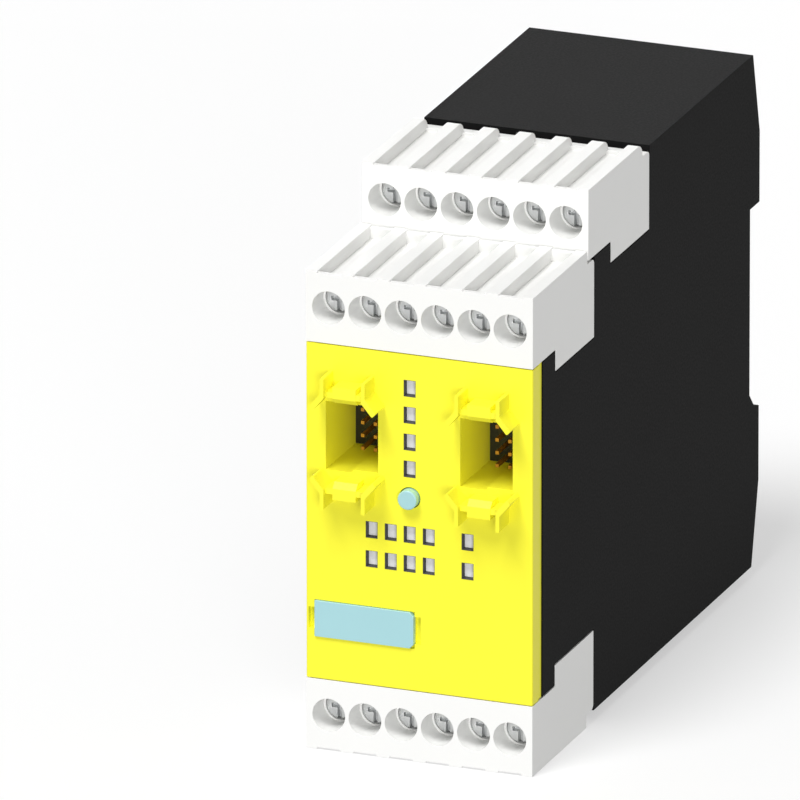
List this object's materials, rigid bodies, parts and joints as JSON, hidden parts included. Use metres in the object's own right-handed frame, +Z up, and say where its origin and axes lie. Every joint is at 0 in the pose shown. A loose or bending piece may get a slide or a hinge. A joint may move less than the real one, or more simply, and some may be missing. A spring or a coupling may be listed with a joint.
{
  "type": "safety controller module",
  "caption": "Rail-mounted safety controller module with yellow front, plug sockets, indicator windows, reset button and stepped screw terminal blocks.",
  "frame": {"origin": "centre of the bounding box at its base, the level of the lowest ribs", "axes": "+Z up as on the rail, -Y to the front where the sockets are, +X to the right seen from the front"},
  "size_m": [0.045, 0.1254, 0.106],
  "materials": {
    "black_housing": "moulded, fine matt grain",
    "yellow_cover": "moulded, fine matt grain",
    "grey_terminal": "moulded, smooth matt",
    "blue_trim": "moulded, smooth",
    "screw_steel": "zinc plated",
    "cage_steel": "zinc plated, bent strip",
    "contact_brass": "tin plated brass strip",
    "pin_gold": "gold plated",
    "board_green": "coated glass fibre board",
    "black_parts": "moulded, satin",
    "relay_case": "moulded, satin",
    "capacitor_can": "sleeved can",
    "white_guide": "clear white light guide",
    "spring_steel": "drawn wire"
  },
  "bodies": {
    "module": {"housing": "black_housing", "side_cover": "black_housing", "front_cover": "yellow_cover", "label_plate": "blue_trim", "contact_forks": "contact_brass", "front_board": "board_green", "main_board": "board_green", "relay_board": "board_green", "relays": "relay_case", "capacitors": "capacitor_can", "header_bases": "black_parts", "header_pins": "pin_gold", "light_guides": "white_guide", "reset_switch": "black_parts", "slide_spring": "spring_steel"},
    "reset_button": {"reset_button": "blue_trim", "switch_plunger": "black_parts"},
    "rail_slide": {"rail_slide": "black_housing"},
    "rear_block": {"rear_terminal_block": "grey_terminal", "rear_contact_bars": "contact_brass"},
    "rear_screw_1": {"rear_screw_1": "screw_steel"},
    "rear_cage_1": {"rear_cage_1": "cage_steel"},
    "rear_screw_2": {"rear_screw_2": "screw_steel"},
    "rear_cage_2": {"rear_cage_2": "cage_steel"},
    "rear_screw_3": {"rear_screw_3": "screw_steel"},
    "rear_cage_3": {"rear_cage_3": "cage_steel"},
    "rear_screw_4": {"rear_screw_4": "screw_steel"},
    "rear_cage_4": {"rear_cage_4": "cage_steel"},
    "rear_screw_5": {"rear_screw_5": "screw_steel"},
    "rear_cage_5": {"rear_cage_5": "cage_steel"},
    "rear_screw_6": {"rear_screw_6": "screw_steel"},
    "rear_cage_6": {"rear_cage_6": "cage_steel"},
    "front_block": {"front_terminal_block": "grey_terminal", "front_contact_bars": "contact_brass"},
    "front_screw_1": {"front_screw_1": "screw_steel"},
    "front_cage_1": {"front_cage_1": "cage_steel"},
    "front_screw_2": {"front_screw_2": "screw_steel"},
    "front_cage_2": {"front_cage_2": "cage_steel"},
    "front_screw_3": {"front_screw_3": "screw_steel"},
    "front_cage_3": {"front_cage_3": "cage_steel"},
    "front_screw_4": {"front_screw_4": "screw_steel"},
    "front_cage_4": {"front_cage_4": "cage_steel"},
    "front_screw_5": {"front_screw_5": "screw_steel"},
    "front_cage_5": {"front_cage_5": "cage_steel"},
    "front_screw_6": {"front_screw_6": "screw_steel"},
    "front_cage_6": {"front_cage_6": "cage_steel"},
    "bottom_block": {"bottom_terminal_block": "grey_terminal", "bottom_contact_bars": "contact_brass"},
    "bottom_screw_1": {"bottom_screw_1": "screw_steel"},
    "bottom_cage_1": {"bottom_cage_1": "cage_steel"},
    "bottom_screw_2": {"bottom_screw_2": "screw_steel"},
    "bottom_cage_2": {"bottom_cage_2": "cage_steel"},
    "bottom_screw_3": {"bottom_screw_3": "screw_steel"},
    "bottom_cage_3": {"bottom_cage_3": "cage_steel"},
    "bottom_screw_4": {"bottom_screw_4": "screw_steel"},
    "bottom_cage_4": {"bottom_cage_4": "cage_steel"},
    "bottom_screw_5": {"bottom_screw_5": "screw_steel"},
    "bottom_cage_5": {"bottom_cage_5": "cage_steel"},
    "bottom_screw_6": {"bottom_screw_6": "screw_steel"},
    "bottom_cage_6": {"bottom_cage_6": "cage_steel"}
  },
  "joints": [
    {"name": "reset_button_press", "type": "slide", "parent": "module", "child": "reset_button", "axis": [0, 1, 0], "range_m": [0, 0.0008], "stiffness_N_per_m": 400, "springref_m": -0.001},
    {"name": "rail_slide_pull", "type": "slide", "parent": "module", "child": "rail_slide", "axis": [0, 0, -1], "range_m": [0, 0.005], "stiffness_N_per_m": 600, "springref_m": -0.003, "deforming": ["slide_spring"]},
    {"name": "rear_block_lift", "type": "slide", "parent": "module", "child": "rear_block", "axis": [0, 0, 1], "range_m": [0, 0.012]},
    {"name": "rear_screw_1_turn", "type": "hinge", "parent": "rear_block", "child": "rear_screw_1", "pos_m": [-0.018, -0.02305, 0.09905], "axis": [0, 1, 0], "range_deg": [0, 1440]},
    {"name": "rear_cage_1_draw", "type": "slide", "parent": "rear_block", "child": "rear_cage_1", "axis": [0, -1, 0], "range_m": [0, 0.002]},
    {"name": "rear_screw_2_turn", "type": "hinge", "parent": "rear_block", "child": "rear_screw_2", "pos_m": [-0.0108, -0.02305, 0.09905], "axis": [0, 1, 0], "range_deg": [0, 1440]},
    {"name": "rear_cage_2_draw", "type": "slide", "parent": "rear_block", "child": "rear_cage_2", "axis": [0, -1, 0], "range_m": [0, 0.002]},
    {"name": "rear_screw_3_turn", "type": "hinge", "parent": "rear_block", "child": "rear_screw_3", "pos_m": [-0.0036, -0.02305, 0.09905], "axis": [0, 1, 0], "range_deg": [0, 1440]},
    {"name": "rear_cage_3_draw", "type": "slide", "parent": "rear_block", "child": "rear_cage_3", "axis": [0, -1, 0], "range_m": [0, 0.002]},
    {"name": "rear_screw_4_turn", "type": "hinge", "parent": "rear_block", "child": "rear_screw_4", "pos_m": [0.0036, -0.02305, 0.09905], "axis": [0, 1, 0], "range_deg": [0, 1440]},
    {"name": "rear_cage_4_draw", "type": "slide", "parent": "rear_block", "child": "rear_cage_4", "axis": [0, -1, 0], "range_m": [0, 0.002]},
    {"name": "rear_screw_5_turn", "type": "hinge", "parent": "rear_block", "child": "rear_screw_5", "pos_m": [0.0108, -0.02305, 0.09905], "axis": [0, 1, 0], "range_deg": [0, 1440]},
    {"name": "rear_cage_5_draw", "type": "slide", "parent": "rear_block", "child": "rear_cage_5", "axis": [0, -1, 0], "range_m": [0, 0.002]},
    {"name": "rear_screw_6_turn", "type": "hinge", "parent": "rear_block", "child": "rear_screw_6", "pos_m": [0.018, -0.02305, 0.09905], "axis": [0, 1, 0], "range_deg": [0, 1440]},
    {"name": "rear_cage_6_draw", "type": "slide", "parent": "rear_block", "child": "rear_cage_6", "axis": [0, -1, 0], "range_m": [0, 0.002]},
    {"name": "front_block_lift", "type": "slide", "parent": "module", "child": "front_block", "axis": [0, 0, 1], "range_m": [0, 0.012]},
    {"name": "front_screw_1_turn", "type": "hinge", "parent": "front_block", "child": "front_screw_1", "pos_m": [-0.018, -0.05205, 0.08725], "axis": [0, 1, 0], "range_deg": [0, 1440]},
    {"name": "front_cage_1_draw", "type": "slide", "parent": "front_block", "child": "front_cage_1", "axis": [0, -1, 0], "range_m": [0, 0.002]},
    {"name": "front_screw_2_turn", "type": "hinge", "parent": "front_block", "child": "front_screw_2", "pos_m": [-0.0108, -0.05205, 0.08725], "axis": [0, 1, 0], "range_deg": [0, 1440]},
    {"name": "front_cage_2_draw", "type": "slide", "parent": "front_block", "child": "front_cage_2", "axis": [0, -1, 0], "range_m": [0, 0.002]},
    {"name": "front_screw_3_turn", "type": "hinge", "parent": "front_block", "child": "front_screw_3", "pos_m": [-0.0036, -0.05205, 0.08725], "axis": [0, 1, 0], "range_deg": [0, 1440]},
    {"name": "front_cage_3_draw", "type": "slide", "parent": "front_block", "child": "front_cage_3", "axis": [0, -1, 0], "range_m": [0, 0.002]},
    {"name": "front_screw_4_turn", "type": "hinge", "parent": "front_block", "child": "front_screw_4", "pos_m": [0.0036, -0.05205, 0.08725], "axis": [0, 1, 0], "range_deg": [0, 1440]},
    {"name": "front_cage_4_draw", "type": "slide", "parent": "front_block", "child": "front_cage_4", "axis": [0, -1, 0], "range_m": [0, 0.002]},
    {"name": "front_screw_5_turn", "type": "hinge", "parent": "front_block", "child": "front_screw_5", "pos_m": [0.0108, -0.05205, 0.08725], "axis": [0, 1, 0], "range_deg": [0, 1440]},
    {"name": "front_cage_5_draw", "type": "slide", "parent": "front_block", "child": "front_cage_5", "axis": [0, -1, 0], "range_m": [0, 0.002]},
    {"name": "front_screw_6_turn", "type": "hinge", "parent": "front_block", "child": "front_screw_6", "pos_m": [0.018, -0.05205, 0.08725], "axis": [0, 1, 0], "range_deg": [0, 1440]},
    {"name": "front_cage_6_draw", "type": "slide", "parent": "front_block", "child": "front_cage_6", "axis": [0, -1, 0], "range_m": [0, 0.002]},
    {"name": "bottom_block_lift", "type": "slide", "parent": "module", "child": "bottom_block", "axis": [0, 0, -1], "range_m": [0, 0.012]},
    {"name": "bottom_screw_1_turn", "type": "hinge", "parent": "bottom_block", "child": "bottom_screw_1", "pos_m": [0.018, -0.05205, 0.00695], "axis": [0, 1, 0], "range_deg": [0, 1440]},
    {"name": "bottom_cage_1_draw", "type": "slide", "parent": "bottom_block", "child": "bottom_cage_1", "axis": [0, -1, 0], "range_m": [0, 0.002]},
    {"name": "bottom_screw_2_turn", "type": "hinge", "parent": "bottom_block", "child": "bottom_screw_2", "pos_m": [0.0108, -0.05205, 0.00695], "axis": [0, 1, 0], "range_deg": [0, 1440]},
    {"name": "bottom_cage_2_draw", "type": "slide", "parent": "bottom_block", "child": "bottom_cage_2", "axis": [0, -1, 0], "range_m": [0, 0.002]},
    {"name": "bottom_screw_3_turn", "type": "hinge", "parent": "bottom_block", "child": "bottom_screw_3", "pos_m": [0.0036, -0.05205, 0.00695], "axis": [0, 1, 0], "range_deg": [0, 1440]},
    {"name": "bottom_cage_3_draw", "type": "slide", "parent": "bottom_block", "child": "bottom_cage_3", "axis": [0, -1, 0], "range_m": [0, 0.002]},
    {"name": "bottom_screw_4_turn", "type": "hinge", "parent": "bottom_block", "child": "bottom_screw_4", "pos_m": [-0.0036, -0.05205, 0.00695], "axis": [0, 1, 0], "range_deg": [0, 1440]},
    {"name": "bottom_cage_4_draw", "type": "slide", "parent": "bottom_block", "child": "bottom_cage_4", "axis": [0, -1, 0], "range_m": [0, 0.002]},
    {"name": "bottom_screw_5_turn", "type": "hinge", "parent": "bottom_block", "child": "bottom_screw_5", "pos_m": [-0.0108, -0.05205, 0.00695], "axis": [0, 1, 0], "range_deg": [0, 1440]},
    {"name": "bottom_cage_5_draw", "type": "slide", "parent": "bottom_block", "child": "bottom_cage_5", "axis": [0, -1, 0], "range_m": [0, 0.002]},
    {"name": "bottom_screw_6_turn", "type": "hinge", "parent": "bottom_block", "child": "bottom_screw_6", "pos_m": [-0.018, -0.05205, 0.00695], "axis": [0, 1, 0], "range_deg": [0, 1440]},
    {"name": "bottom_cage_6_draw", "type": "slide", "parent": "bottom_block", "child": "bottom_cage_6", "axis": [0, -1, 0], "range_m": [0, 0.002]}
  ],
  "couplings": [
    {"joint": "rear_screw_1_turn", "follows": "rear_cage_1_draw", "rad_per_m": 12566},
    {"joint": "rear_screw_2_turn", "follows": "rear_cage_2_draw", "rad_per_m": 12566},
    {"joint": "rear_screw_3_turn", "follows": "rear_cage_3_draw", "rad_per_m": 12566},
    {"joint": "rear_screw_4_turn", "follows": "rear_cage_4_draw", "rad_per_m": 12566},
    {"joint": "rear_screw_5_turn", "follows": "rear_cage_5_draw", "rad_per_m": 12566},
    {"joint": "rear_screw_6_turn", "follows": "rear_cage_6_draw", "rad_per_m": 12566},
    {"joint": "front_screw_1_turn", "follows": "front_cage_1_draw", "rad_per_m": 12566},
    {"joint": "front_screw_2_turn", "follows": "front_cage_2_draw", "rad_per_m": 12566},
    {"joint": "front_screw_3_turn", "follows": "front_cage_3_draw", "rad_per_m": 12566},
    {"joint": "front_screw_4_turn", "follows": "front_cage_4_draw", "rad_per_m": 12566},
    {"joint": "front_screw_5_turn", "follows": "front_cage_5_draw", "rad_per_m": 12566},
    {"joint": "front_screw_6_turn", "follows": "front_cage_6_draw", "rad_per_m": 12566},
    {"joint": "bottom_screw_1_turn", "follows": "bottom_cage_1_draw", "rad_per_m": 12566},
    {"joint": "bottom_screw_2_turn", "follows": "bottom_cage_2_draw", "rad_per_m": 12566},
    {"joint": "bottom_screw_3_turn", "follows": "bottom_cage_3_draw", "rad_per_m": 12566},
    {"joint": "bottom_screw_4_turn", "follows": "bottom_cage_4_draw", "rad_per_m": 12566},
    {"joint": "bottom_screw_5_turn", "follows": "bottom_cage_5_draw", "rad_per_m": 12566},
    {"joint": "bottom_screw_6_turn", "follows": "bottom_cage_6_draw", "rad_per_m": 12566},
    {"joint": "front_block_lift", "follows": "rear_block_lift", "ratio": 1}
  ]
}
